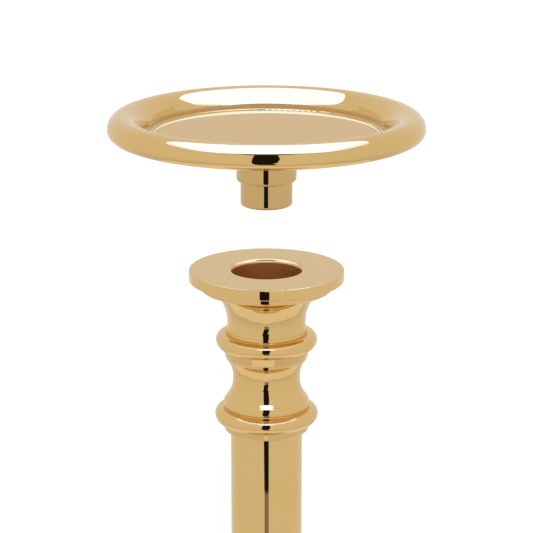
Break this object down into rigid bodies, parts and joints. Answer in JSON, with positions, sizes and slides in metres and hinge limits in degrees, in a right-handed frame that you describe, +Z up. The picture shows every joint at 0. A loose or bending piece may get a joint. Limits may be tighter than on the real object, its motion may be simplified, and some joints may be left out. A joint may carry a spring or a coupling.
{
  "type": "pillar candle holder",
  "caption": "Turned brass candlestick with a flanged taper socket, ringed stem and round weighted base, and a lift-off rimmed plate with a stepped plug that holds a pillar candle.",
  "frame": {"origin": "centre of the base underside, on the surface the candlestick stands on", "axes": "+Z up the stick, which is round about Z; +X and +Y are any two directions square to it"},
  "size_m": [0.124, 0.124, 0.3117],
  "materials": {
    "polished_brass": "mirror polished and lacquered",
    "steel": "plain zinc-plated",
    "cast_iron": "as cast",
    "felt": "pressed wool felt"
  },
  "bodies": {
    "candlestick": {"socket_cup": "polished_brass", "upper_ring": "polished_brass", "waist_spool": "polished_brass", "column_head_ring": "polished_brass", "column_tube": "polished_brass", "column_head_bush": "steel", "column_foot_bush": "steel", "column_foot_ring": "polished_brass", "foot_spool": "polished_brass", "base_neck_ring": "polished_brass", "base_shell": "polished_brass", "base_weight": "cast_iron", "felt_pad": "felt", "tie_rod": "steel", "clamp_washer": "steel", "lock_washer": "steel", "clamp_nut": "steel"},
    "pillar_plate": {"plate_dish": "polished_brass", "plate_plug": "polished_brass", "plug_stud": "steel"}
  },
  "joints": [
    {"name": "plate_lift", "type": "slide", "parent": "candlestick", "child": "pillar_plate", "axis": [0, 0, 1], "range_m": [-0.0433, 0.2]}
  ]
}
